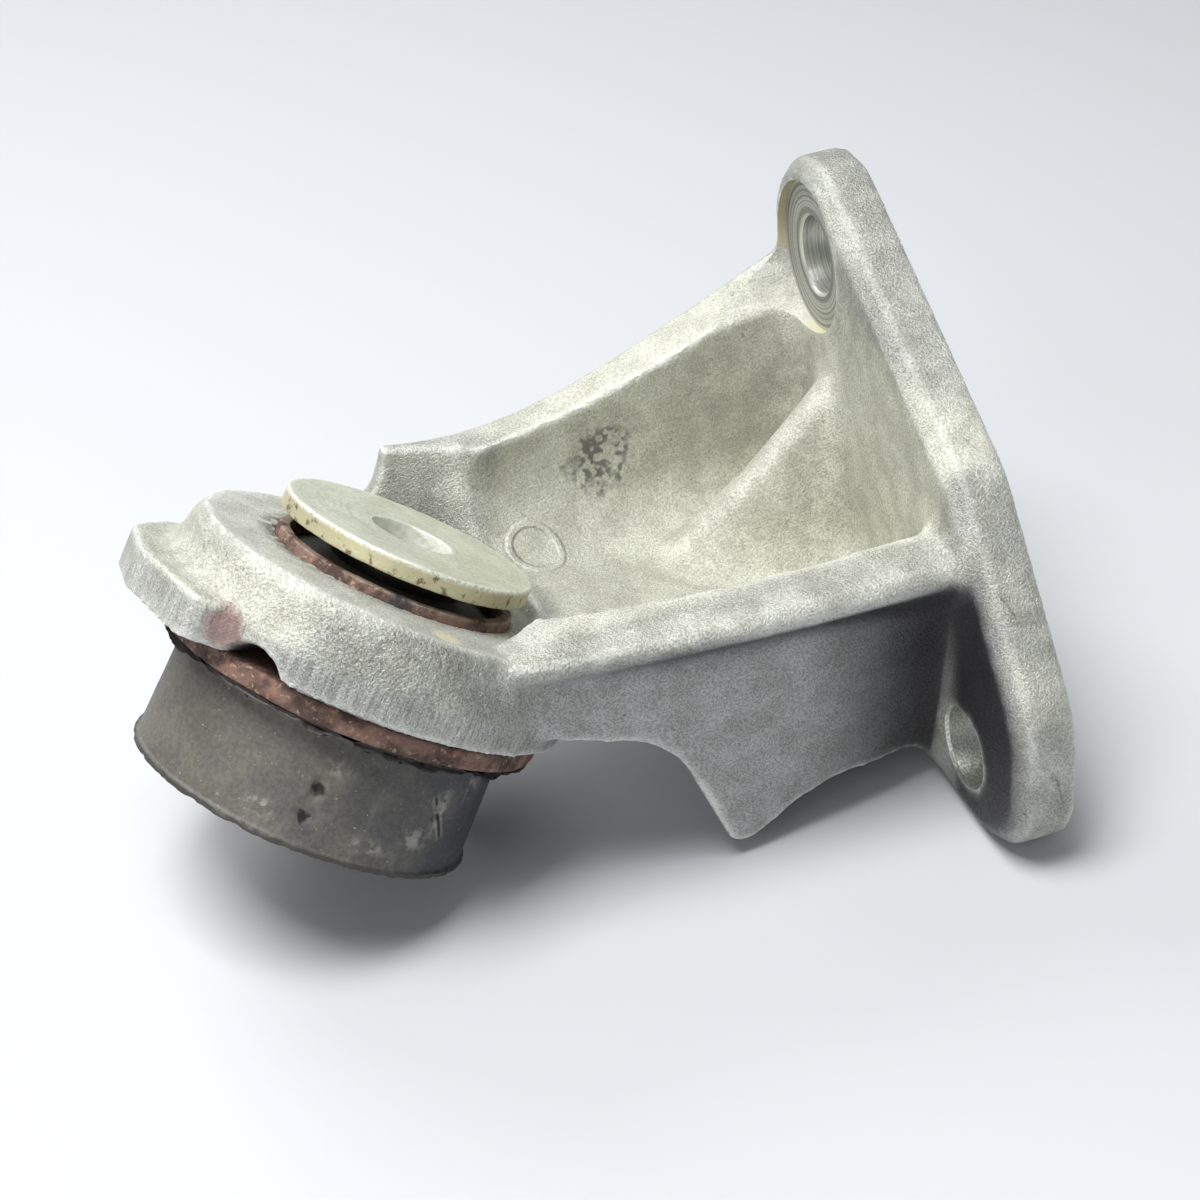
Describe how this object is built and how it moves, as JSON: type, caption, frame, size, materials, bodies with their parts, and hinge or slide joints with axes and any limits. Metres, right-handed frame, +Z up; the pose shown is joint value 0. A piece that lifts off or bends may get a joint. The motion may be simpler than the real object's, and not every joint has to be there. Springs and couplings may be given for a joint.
{
  "type": "engine mount",
  "caption": "Cast bracket with a bolt flange, a ribbed tray-shaped arm and a slanted ring that holds a flanged rubber bush with a washer on top.",
  "frame": {"origin": "centre of the upper bolt hole on the mounting face", "axes": "+X out of the mounting face, +Z up with the foot of the flange and the lower rim of the bush on one level, +Y away from the front wall"},
  "size_m": [0.1331, 0.096, 0.0868],
  "materials": {
    "cast_aluminium": "as cast, fine grain",
    "rusty_steel": "bare steel with surface rust",
    "bush_rubber": "moulded, scuffed",
    "plain_steel": "turned",
    "zinc_steel": "yellowish zinc plate"
  },
  "bodies": {
    "root": {"bracket_casting": "cast_aluminium", "outer_sleeve": "rusty_steel", "rubber_body": "bush_rubber", "inner_sleeve": "plain_steel", "top_washer": "zinc_steel"}
  },
  "joints": []
}
